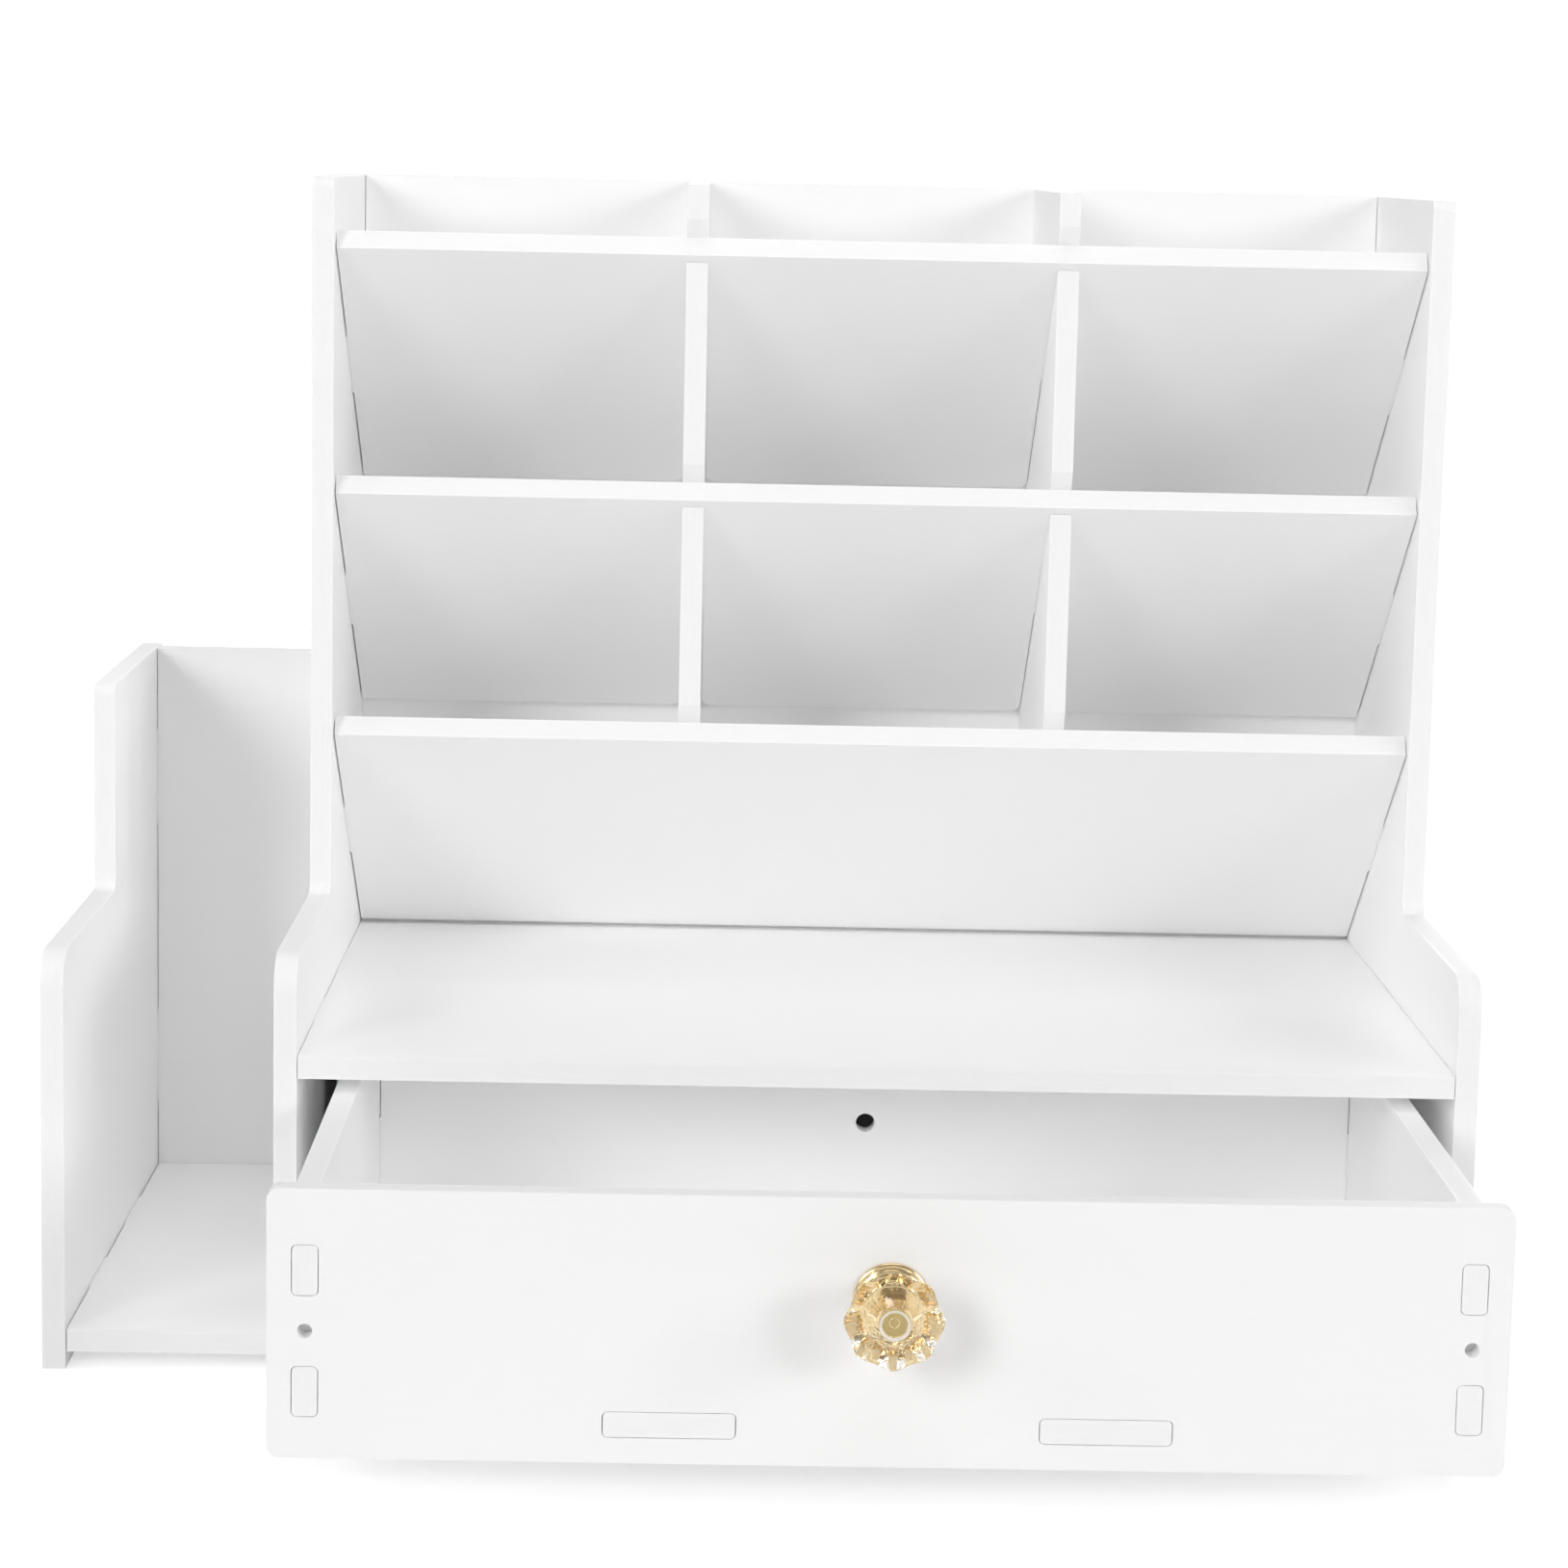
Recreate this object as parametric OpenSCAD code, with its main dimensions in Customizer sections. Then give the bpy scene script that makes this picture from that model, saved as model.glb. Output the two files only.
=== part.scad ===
// Desk pen holder with slanted compartments, a file bay on its left and a drawer.
// It is made of flat white boards that lock together with tabs and slots.
// Sizes are in millimetres. While a board is drawn, x = 0 is the middle of the
// main cabinet, y = 0 is the front edge of the upper half, and z = 0 is the desk.
// The front faces -y. The drawer is drawn shut and then pulled out.

/* [Boards] */
// Thickness of every board
board = 5; // [4:0.5:7]
// Gap between a tab and the wall of its slot
slot_gap = 0.2; // [0.1:0.05:0.5]
// Gap between the shoulder of a board and the face that it meets
shoulder_gap = 0.2; // [0.1:0.1:0.8]
// The wider gap at the ends of the slanted panels and of the file bay's floor
loose_gap = 0.4; // [0.2:0.1:0.8]
// How far a tab stops short of the far face of its slot
tab_recess = 0.1; // [0:0.1:0.5]
// Radius of a tab's long edges
tab_r = 1; // [0.4:0.1:2]

/* [Cabinet] */
// Clear width between the two main sides
inner_w = 250; // [220:1:320]
// Height of the main sides and of the back
cabinet_h = 257; // [235:1:320]
// Depth from the upper front edges to the back panel
upper_d = 80; // [70:1:100]
// How far the lower half stands in front of the upper half
step_d = 77; // [60:1:110]
// Height of the ledge of the sides above the shelf
ledge_rise = 21.5; // [12:0.5:30]
// Depth of the sides behind their back panel
rear_margin = 5; // [3:0.5:10]
// Radius of the rounded front corner of the ledge
ledge_r = 8; // [3:0.5:11]
// Radius of the inner corner where the ledge meets the upper half
ledge_fillet = 3; // [1:0.5:8]
// Radius of the top front corner of a side
top_r = 2.5; // [1:0.5:8]

/* [File bay] */
// Clear width of the file bay
bay_w = 45; // [30:1:90]
// Height of the file bay
bay_h = 140; // [120:1:200]
// How far the back of the file bay stands in front of the cabinet's back
file_inset = 10; // [8:0.5:16]

/* [Shelf and floors] */
// Height of the shelf's upper face above the desk
shelf_z = 70.5; // [64:0.5:82]
// Height of the floors' undersides above the desk
floor_lift = 4; // [3:0.5:8]
// Length of a tab on the shelf
shelf_tab = 30; // [15:1:45]
// Distance between the two tabs at one end of the shelf
shelf_tab_pitch = 58; // [50:1:80]
// Length of a tab on the floor of the file bay
floor_tab = 26; // [15:1:35]
// Distance between the two tabs on one edge of the file bay's floor
floor_tab_pitch = 55; // [45:1:60]
// Length of a tab on the floor under the drawer
base_tab = 20; // [12:1:22]
// Wall left between the tabs of the two floors where they share a side
tab_web = 6; // [4:0.5:8]
// Length of a tab on the back panel
back_tab = 30; // [15:1:40]
// Distance from the back panel's ends to the middle of its outer tabs
back_tab_end = 35; // [25:1:50]
// Length of a tab on the back of the file bay
file_tab = 25; // [15:1:35]
// Distance between the two tabs on one edge of the file bay's back
file_tab_pitch = 71; // [50:1:80]

/* [Slanted panels] */
// Angle of the slanted panels above level
slope_angle = 37.5; // [32:0.5:42]
// Distance of their upper front edge behind the front edge of the sides
slope_setback = 1.8; // [0.5:0.1:4]
// Height of the sides above the front edge of the top panel
head_h = 16; // [10:0.5:24]
// Gap between the lowest panel and the shelf
shelf_clear = 1; // [0.4:0.1:3]
// Length of the tab at each end of a slanted panel
slope_tab = 24; // [12:1:34]

/* [Dividers] */
// Distance of a divider's front edge behind the slanted panels' edge
divider_setback = 1.8; // [0.5:0.1:4]
// Height of the lead-in cut above each slot of a divider
lead_in = 3; // [2:0.5:8]
// Radius of the rounded mouth of a slot in a slanted panel
mouth_r = 3; // [1:0.5:6]

/* [Drawer] */
// How far the drawer is pulled out
drawer_out = 86; // [0:1:115]
// Gap between the drawer's front and each side
drawer_side_gap = 3; // [1:0.5:6]
// Gap between the drawer's front and the shelf
drawer_top_gap = 1.8; // [0.6:0.1:4]
// Running gap between the drawer and the floor under it
run_gap = 0.3; // [0.2:0.1:0.8]
// Room behind the drawer when it is shut
drawer_back_room = 6; // [2:0.5:20]
// How far the front and the back reach past the drawer's sides
end_overhang = 5; // [3:0.5:8]
// Radius of the corners of the drawer's front
end_r = 2.5; // [1:0.5:5]
// How much lower the drawer's sides are than its front
side_drop = 1; // [0.2:0.1:3]
// Height of a tab at the end of a drawer side
end_tab = 10; // [6:0.5:12]
// Height of the lower tab's middle above the drawer's lower edge
end_tab_low = 13.5; // [11:0.5:16]
// Distance between the two tabs at one end of a drawer side
end_tab_pitch = 24.5; // [20:0.5:27]
// Diameter of the pilot hole between the two tabs
pilot_d = 3; // [2:0.1:4]
// Height of the drawer's bottom board above its lower edge
bottom_lift = 5.3; // [3:0.1:9]
// Length of a tab at the front and back of the bottom board
bottom_tab = 26; // [15:1:40]
// Distance between the two tabs at the front of the bottom board
bottom_tab_pitch = 86; // [60:1:110]
// Length of a tab at the left and right of the bottom board
bottom_side_tab = 24; // [12:1:30]
// Distance between the two tabs at one side of the bottom board
bottom_side_pitch = 62; // [45:1:75]

/* [Knob] */
// Height of the knob above the drawer's lower edge
knob_h = 34.2; // [28:0.1:40]
// Diameter of the knob's hole in the drawer's front
knob_hole = 4.4; // [4.2:0.1:6]
// Thickness of the metal flange on the drawer's front
flange_t = 1.6; // [1:0.1:3]
// Diameter of the metal flange
flange_d = 15; // [14:0.5:20]
// Radius of the metal neck behind the crystal
neck_r = 4; // [3.6:0.1:5]
// Radius of the hollow curve from the flange to the neck
cove_r = 2.2; // [1.5:0.1:2.5]
// Radius of the bead that the crystal sits on
bead_r = 1; // [0.8:0.1:1.5]
// Diameter of the metal stem inside the crystal
stem_d = 5.6; // [5:0.1:6.4]
// Length of the metal stem inside the crystal
stem_len = 9.5; // [6:0.5:10]
// Gap round the stem in the crystal
stem_gap = 0.1; // [0.05:0.05:0.3]
// Diameter of the crystal across its points
crystal_d = 19.5; // [17:0.5:26]
// Distance from the crystal's seat to its widest point
crystal_girdle = 10; // [9:0.1:16]
// Height of the facets between the widest point and the round front
crystal_crown = 2.2; // [1.5:0.1:6]
// Diameter of the round front of the crystal
crystal_table = 6.4; // [6.1:0.1:9]
// Height of the round front above the facets round it
table_rise = 0.6; // [0.3:0.1:1.5]
// Width of the rim left round the dish in the round front
dish_rim = 0.75; // [0.3:0.05:1]
// Depth of the dish in the round front
dish_depth = 0.4; // [0.2:0.1:0.8]
// Diameter of the knob's screw
screw_d = 4; // [3:0.1:4]
// Gap round the screw in the metal base
screw_gap = 0.05; // [0.02:0.01:0.1]
// Length of the screw in the metal base
screw_grip = 7; // [5:0.5:10]
// Room past the screw's tip in the metal base
tip_room = 1; // [0.5:0.1:2]
// Diameter of the screw's head
head_d = 8; // [6.5:0.1:9]
// Height of the screw's head
head_t = 2.4; // [1.8:0.1:3.2]

/* [Hidden] */
$fn = 64;

board_white = [0.95, 0.95, 0.94];
crystal_clear = [0.93, 0.87, 0.70, 0.5];
gold = [0.83, 0.66, 0.30];
steel = [0.72, 0.73, 0.75];

// A slot's corners run round those of its tab
slot_corner = tab_r + slot_gap;
// A tab runs this far back into its own board
tab_root = board;
// A cutter reaches this far past the face that it starts from
past = board;

half_w = inner_w / 2;
bay_x = -(half_w + board + bay_w / 2);
ledge_z = shelf_z + ledge_rise;
main_rear = upper_d + board + rear_margin;
file_d = upper_d - file_inset;
file_rear = file_d + board + rear_margin;

// Slanted panels: three of one length, level 0 on top, reaching the back panel
levels = [0, 1, 2];
lowest = len(levels) - 1;
slope_reach = upper_d - shoulder_gap - slope_setback - board * sin(slope_angle);
slope_len = slope_reach / cos(slope_angle);
slope_low_z = shelf_z + shelf_clear + slope_len * sin(slope_angle);
slope_pitch = (cabinet_h - head_h - slope_low_z) / lowest;
function slope_z(level) = cabinet_h - head_h - level * slope_pitch;

// Height of a slanted panel's upper face at a depth, with the slot's gap over it
function over_slope(level, y) = slope_z(level) + (board + slot_gap) / cos(slope_angle)
    - (y - slope_setback) * tan(slope_angle);

// Dividers: two, which share the width in three, lapped half way down the panels
divider_front = slope_setback + divider_setback;
divider_pitch = (inner_w + board) / 3;
divider_x = [-divider_pitch / 2, divider_pitch / 2];
lap = slope_len / 2;

// Middles of the tabs
function pair(middle, pitch) = [middle - pitch / 2, middle + pitch / 2];
shelf_tab_y = pair((upper_d - step_d) / 2, shelf_tab_pitch);
floor_tab_y = pair((file_d - step_d) / 2, floor_tab_pitch);
base_tab_step = floor_tab / 2 + tab_web + base_tab / 2;
base_tab_y = [floor_tab_y[0] - base_tab_step, floor_tab_y[1] + base_tab_step];
back_tab_z = [
    floor_lift + back_tab_end, (floor_lift + cabinet_h) / 2, cabinet_h - back_tab_end
];
file_tab_z = pair((floor_lift + bay_h) / 2, file_tab_pitch);
slope_tab_u = [slope_len / 2];

// Drawer, shut
drawer_front_y = -step_d;
drawer_z = floor_lift + board + run_gap;
drawer_h = shelf_z - board - drawer_top_gap - drawer_z;
drawer_w = inner_w - 2 * drawer_side_gap;
drawer_len = step_d + upper_d - drawer_back_room;
drawer_mid_y = drawer_front_y + drawer_len / 2;
inside_len = drawer_len - 2 * board;
side_x = drawer_w / 2 - end_overhang - board;
end_tab_z = [end_tab_low, end_tab_low + end_tab_pitch];
pilot_z = end_tab_low + end_tab_pitch / 2;
bottom_side_y = pair(drawer_mid_y, bottom_side_pitch);

// Knob, along its own axis from the drawer's front face
crystal_seat = flange_t + cove_r + 2 * bead_r;
crystal_h = crystal_girdle + crystal_crown + table_rise;
knob_reach = crystal_seat + crystal_h;

// Origin: the middle of the footprint, with the drawer as it is pulled out
front_y = drawer_front_y - drawer_out - knob_reach;
left_x = bay_x - bay_w / 2 - board;
right_x = half_w + board;

module place() {
    translate([-(left_x + right_x) / 2, -(front_y + main_rear) / 2, 0])
        children();
}

module pulled_out() {
    place()
        translate([0, -drawer_out, 0])
            children();
}

// A board on edge from front to back, drawn as (y, z), whose left face is at x
module upright(x) {
    translate([x, 0, 0])
        rotate([90, 0, 90])
            children();
}

// A board that lies flat, drawn as (x, y), with its underside at z
module level_board(z) {
    translate([0, 0, z])
        children();
}

// A board that faces the front, drawn as (x, z), with its front face at y
module facing(y) {
    translate([0, y + board, 0])
        rotate([90, 0, 0])
            children();
}

// A slanted board, drawn as (x, distance down the slope), with its lower face out
module sloped(level) {
    translate([0, slope_setback, slope_z(level)])
        rotate([-slope_angle, 0, 0])
            children();
}

// An outline cut from one board
module plate() {
    linear_extrude(board)
        children();
}

// A rectangle round its middle with rounded corners
module rounded(w, h, r) {
    square([w - 2 * r, h], center = true);
    square([w, h - 2 * r], center = true);
    for (sx = [-1, 1], sy = [-1, 1])
        translate([sx * (w / 2 - r), sy * (h / 2 - r)])
            circle(r = r);
}

// The slot for a tab of this section
module slot(w, h) {
    rounded(w + 2 * slot_gap, h + 2 * slot_gap, slot_corner);
}

// The outline of a board between two faces at -half and half
module span(half, low, high, gap = shoulder_gap) {
    reach = half - gap;
    translate([-reach, low])
        square([2 * reach, high - low]);
}

// Tabs past both ends of such a board, with their middles at these places and
// their long edges rounded like the slots' corners
module end_tabs(half, places, width) {
    tab_len = tab_root + board - tab_recess;
    for (p = places, s = [-1, 1])
        translate([s * (half - tab_root + tab_len / 2), p, board / 2])
            rotate([0, 90, 0])
                linear_extrude(tab_len, center = true)
                    rounded(board, width, tab_r);
}

// The outline of a side: a deep lower half, a ledge and a narrower upper half
module side_outline(top, rear) {
    difference() {
        union() {
            translate([-step_d, 0])
                square([step_d + rear, ledge_z - ledge_r]);
            translate([ledge_r - step_d, 0])
                square([step_d + rear - ledge_r, ledge_z]);
            translate([ledge_r - step_d, ledge_z - ledge_r])
                circle(r = ledge_r);
            square([rear, top - top_r]);
            translate([top_r, 0])
                square([rear - top_r, top]);
            translate([top_r, top - top_r])
                circle(r = top_r);
            translate([-ledge_fillet, ledge_z])
                square(ledge_fillet);
        }
        translate([-ledge_fillet, ledge_z + ledge_fillet])
            circle(r = ledge_fillet);
    }
}

// Slots in a main side for the cabinet's own boards
module cabinet_slots() {
    for (level = levels)
        translate([slope_setback, slope_z(level)])
            rotate(-slope_angle)
                translate([slope_tab_u[0], board / 2])
                    slot(slope_tab, board);
    for (y = shelf_tab_y)
        translate([y, shelf_z - board / 2])
            slot(shelf_tab, board);
    for (y = base_tab_y)
        translate([y, floor_lift + board / 2])
            slot(base_tab, board);
    for (z = back_tab_z)
        translate([upper_d + board / 2, z])
            slot(board, back_tab);
}

// Slots for the two boards of the file bay
module file_slots() {
    for (y = floor_tab_y)
        translate([y, floor_lift + board / 2])
            slot(floor_tab, board);
    for (z = file_tab_z)
        translate([file_d + board / 2, z])
            slot(board, file_tab);
}

module outer_side() {
    color(board_white)
        place()
            upright(left_x)
                plate()
                    difference() {
                        side_outline(bay_h, file_rear);
                        file_slots();
                    }
}

module left_side() {
    color(board_white)
        place()
            upright(-half_w - board)
                plate()
                    difference() {
                        side_outline(cabinet_h, main_rear);
                        cabinet_slots();
                        file_slots();
                    }
}

module right_side() {
    color(board_white)
        place()
            upright(half_w)
                plate()
                    difference() {
                        side_outline(cabinet_h, main_rear);
                        cabinet_slots();
                    }
}

module back_panel() {
    color(board_white)
        place()
            facing(upper_d) {
                plate()
                    span(half_w, floor_lift, cabinet_h);
                end_tabs(half_w, back_tab_z, back_tab);
            }
}

module base_panel() {
    color(board_white)
        place()
            level_board(floor_lift) {
                plate()
                    span(half_w, -step_d, upper_d - shoulder_gap);
                end_tabs(half_w, base_tab_y, base_tab);
            }
}

module shelf() {
    color(board_white)
        place()
            level_board(shelf_z - board) {
                plate()
                    span(half_w, -step_d, upper_d - shoulder_gap);
                end_tabs(half_w, shelf_tab_y, shelf_tab);
            }
}

module file_back() {
    color(board_white)
        place()
            facing(file_d)
                translate([bay_x, 0]) {
                    plate()
                        span(bay_w / 2, floor_lift, bay_h);
                    end_tabs(bay_w / 2, file_tab_z, file_tab);
                }
}

module file_floor() {
    color(board_white)
        place()
            level_board(floor_lift)
                translate([bay_x, 0]) {
                    plate()
                        span(bay_w / 2, -step_d, file_d - shoulder_gap, loose_gap);
                    end_tabs(bay_w / 2, floor_tab_y, floor_tab);
                }
}

module slope_outline() {
    span(half_w, 0, slope_len, loose_gap);
}

module slope_tabs() {
    end_tabs(half_w, slope_tab_u, slope_tab);
}

// The slot of a slanted panel for a divider, open at the lower edge
module lap_slot() {
    w = board + 2 * slot_gap;
    translate([-w / 2, lap - slot_gap / 2])
        square([w, slope_len]);
    translate([0, slope_len])
        difference() {
            square([w + 2 * mouth_r, 2 * mouth_r], center = true);
            for (s = [-1, 1])
                translate([s * (w / 2 + mouth_r), -mouth_r])
                    circle(r = mouth_r);
        }
}

module lapped_slope(level) {
    sloped(level) {
        plate()
            difference() {
                slope_outline();
                for (x = divider_x)
                    translate([x, 0])
                        lap_slot();
            }
        slope_tabs();
    }
}

module upper_slope() {
    color(board_white)
        place()
            lapped_slope(0);
}

module middle_slope() {
    color(board_white)
        place()
            lapped_slope(1);
}

module lower_slope() {
    color(board_white)
        place()
            sloped(lowest) {
                plate()
                    slope_outline();
                slope_tabs();
            }
}

// The slanted cut that leads a panel into its slot from the divider's front edge
module lead_in_cut(level) {
    mouth_z = over_slope(level, divider_front);
    fall = 1 + tan(slope_angle);
    polygon([
        [divider_front - board, mouth_z + lead_in + board * fall],
        [divider_front + lead_in, over_slope(level, divider_front + lead_in)],
        [divider_front - board, mouth_z - board]
    ]);
}

// A divider stands on the lowest panel, and the other two pass through its slots
module divider(x) {
    back_y = upper_d - shoulder_gap;
    upright(x - board / 2)
        plate()
            difference() {
                polygon([
                    [divider_front, cabinet_h],
                    [back_y, cabinet_h],
                    [back_y, over_slope(lowest, back_y)],
                    [divider_front, over_slope(lowest, divider_front)]
                ]);
                for (level = [0, 1])
                    translate([slope_setback, slope_z(level)])
                        rotate(-slope_angle)
                            translate([-2 * board, -slot_gap])
                                square([2 * board + lap + slot_gap / 2, board + 2 * slot_gap]);
                for (level = levels)
                    lead_in_cut(level);
            }
}

module left_divider() {
    color(board_white)
        place()
            divider(divider_x[0]);
}

module right_divider() {
    color(board_white)
        place()
            divider(divider_x[1]);
}

// The front and the back of the drawer are cut alike, above the lower edge
module drawer_end() {
    difference() {
        translate([0, drawer_h / 2])
            rounded(drawer_w, drawer_h, end_r);
        for (s = [-1, 1]) {
            for (z = end_tab_z)
                translate([s * (side_x + board / 2), z])
                    slot(board, end_tab);
            translate([s * (side_x + board / 2), pilot_z])
                circle(d = pilot_d);
            translate([s * bottom_tab_pitch / 2, bottom_lift + board / 2])
                slot(bottom_tab, board);
        }
        translate([0, knob_h])
            circle(d = knob_hole);
    }
}

module drawer_front() {
    color(board_white)
        pulled_out()
            translate([0, 0, drawer_z])
                facing(drawer_front_y)
                    plate()
                        drawer_end();
}

module drawer_back() {
    color(board_white)
        pulled_out()
            translate([0, 0, drawer_z])
                facing(drawer_front_y + drawer_len - board)
                    plate()
                        drawer_end();
}

module drawer_side(x) {
    pulled_out()
        translate([0, 0, drawer_z])
            upright(x) {
                plate()
                    difference() {
                        translate([drawer_mid_y, 0])
                            span(inside_len / 2, 0, drawer_h - side_drop);
                        for (y = bottom_side_y)
                            translate([y, bottom_lift + board / 2])
                                slot(bottom_side_tab, board);
                    }
                translate([drawer_mid_y, 0])
                    end_tabs(inside_len / 2, end_tab_z, end_tab);
            }
}

module drawer_left() {
    color(board_white)
        drawer_side(-side_x - board);
}

module drawer_right() {
    color(board_white)
        drawer_side(side_x);
}

module drawer_bottom() {
    reach = inside_len / 2 - shoulder_gap;
    color(board_white)
        pulled_out()
            level_board(drawer_z + bottom_lift) {
                plate()
                    span(side_x, drawer_mid_y - reach, drawer_mid_y + reach);
                end_tabs(side_x, bottom_side_y, bottom_side_tab);
                translate([0, drawer_mid_y])
                    rotate(90)
                        end_tabs(inside_len / 2, pair(0, bottom_tab_pitch), bottom_tab);
            }
}

// Puts a part of the knob on the drawer's front, with its axis towards the user
module on_knob_axis() {
    pulled_out()
        translate([0, drawer_front_y, drawer_z + knob_h])
            rotate([90, 0, 0])
                children();
}

// Turned metal: flange, hollow curve, neck, bead and the stem in the crystal
module knob_base() {
    edge_r = flange_t / 2;
    rim_r = flange_d / 2 - edge_r;
    // The hollow curve stops short of the flange's face, which it would only touch
    cove_w = 0.8 * cove_r;
    color(gold)
        on_knob_axis()
            difference() {
                rotate_extrude() {
                    square([rim_r, flange_t]);
                    translate([rim_r, edge_r])
                        circle(r = edge_r);
                    difference() {
                        translate([0, flange_t])
                            square([neck_r + cove_w, cove_r]);
                        translate([neck_r + cove_r, flange_t + cove_r])
                            circle(r = cove_r);
                    }
                    square([neck_r, crystal_seat - bead_r]);
                    square([neck_r - bead_r / 2, crystal_seat]);
                    translate([neck_r, crystal_seat - bead_r])
                        circle(r = bead_r);
                    square([stem_d / 2, crystal_seat + stem_len]);
                }
                translate([0, 0, -past])
                    cylinder(d = screw_d + 2 * screw_gap, h = past + screw_grip + tip_room);
            }
}

// The crystal: rings of eight points and eight flats between them, from its seat
// to its round front. Each ring is [distance from the seat, radius, share at flats].
points = 8;
flat_share = cos(180 / points);
crystal_rings = [
    [0, neck_r + bead_r, 1],
    [crystal_girdle * 0.25, crystal_d * 0.30, flat_share],
    [crystal_girdle * 0.9, crystal_d * 0.47, flat_share],
    [crystal_girdle, crystal_d / 2, flat_share],
    [crystal_girdle + crystal_crown * 0.6, crystal_d * 0.33, 0.86],
    [crystal_girdle + crystal_crown, crystal_table / 2 + dish_rim, 1]
];
function ring_point(ring, k) = let (
    r = ring[1] * (k % 2 == 0 ? 1 : ring[2]),
    turn = 180 / points * k
) [r * cos(turn), r * sin(turn), ring[0]];

module crystal_body() {
    around = 2 * points;
    rings = len(crystal_rings);
    corners = [for (ring = crystal_rings, k = [0 : around - 1]) ring_point(ring, k)];
    walls = [
        for (j = [0 : rings - 2], k = [0 : around - 1])
            let (a = j * around + k, b = j * around + (k + 1) % around)
            each [[a, a + around, b], [b, a + around, b + around]]
    ];
    seat = [for (k = [0 : around - 1]) k];
    table = [for (k = [around - 1 : -1 : 0]) (rings - 1) * around + k];
    polyhedron(points = corners, faces = concat(walls, [seat, table]));
}

module knob_crystal() {
    color(crystal_clear)
        on_knob_axis()
            translate([0, 0, crystal_seat])
                difference() {
                    union() {
                        crystal_body();
                        translate([0, 0, crystal_girdle])
                            cylinder(d = crystal_table, h = crystal_h - crystal_girdle);
                    }
                    translate([0, 0, -past])
                        cylinder(d = stem_d + 2 * stem_gap, h = past + stem_len + stem_gap);
                    translate([0, 0, crystal_h - dish_depth])
                        cylinder(d = crystal_table - 2 * dish_rim, h = past);
                }
}

// A pan-headed screw from inside the drawer, with a cross recess in its head
module knob_screw() {
    recess_w = head_t * 0.4;
    recess_d = head_t * 0.5;
    color(steel)
        on_knob_axis()
            translate([0, 0, -board])
                difference() {
                    rotate_extrude() {
                        square([screw_d / 2, board + screw_grip]);
                        translate([0, -head_t / 2])
                            square([head_d / 2, head_t / 2]);
                        translate([0, -head_t])
                            square([head_d / 2 - head_t / 2, head_t]);
                        translate([head_d / 2 - head_t / 2, -head_t / 2])
                            circle(r = head_t / 2);
                    }
                    for (turn = [0, 90])
                        rotate(turn)
                            translate([-head_d / 4, -recess_w / 2, -2 * head_t])
                                cube([head_d / 2, recess_w, head_t + recess_d]);
                }
}

outer_side();
left_side();
right_side();
back_panel();
base_panel();
shelf();
file_back();
file_floor();
upper_slope();
middle_slope();
lower_slope();
left_divider();
right_divider();
drawer_front();
drawer_back();
drawer_left();
drawer_right();
drawer_bottom();
knob_base();
knob_crystal();
knob_screw();
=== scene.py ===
import math

import bmesh
import bpy
import numpy as np
from mathutils import Matrix, Vector


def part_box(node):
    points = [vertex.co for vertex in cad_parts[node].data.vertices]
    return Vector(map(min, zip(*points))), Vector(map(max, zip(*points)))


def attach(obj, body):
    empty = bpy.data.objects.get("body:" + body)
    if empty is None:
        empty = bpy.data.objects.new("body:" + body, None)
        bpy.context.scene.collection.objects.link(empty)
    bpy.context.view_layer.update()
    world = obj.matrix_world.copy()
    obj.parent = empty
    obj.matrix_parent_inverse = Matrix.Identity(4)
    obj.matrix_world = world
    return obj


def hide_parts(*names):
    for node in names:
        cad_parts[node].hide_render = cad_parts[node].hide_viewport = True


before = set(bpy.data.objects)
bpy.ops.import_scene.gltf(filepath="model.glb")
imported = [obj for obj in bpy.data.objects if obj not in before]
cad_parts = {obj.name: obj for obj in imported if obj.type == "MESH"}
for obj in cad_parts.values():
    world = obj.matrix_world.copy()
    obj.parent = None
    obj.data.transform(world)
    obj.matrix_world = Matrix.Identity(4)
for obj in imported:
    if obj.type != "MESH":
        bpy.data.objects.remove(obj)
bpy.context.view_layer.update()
scene = bpy.context.scene
MM = 0.001


# Sides. Three upright boards of 5 mm fibreboard, painted white, routed to a stepped outline.
# They stand on their lower edges, and the boards across the cabinet and file bay plug into them.

BOARD = 5 * MM
CUT_EASE = 0.22 * MM
MERGE_DISTANCE = 0.001 * MM
FLAT_ANGLE = math.radians(0.5)
CUT_ANGLE = math.radians(40)


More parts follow.
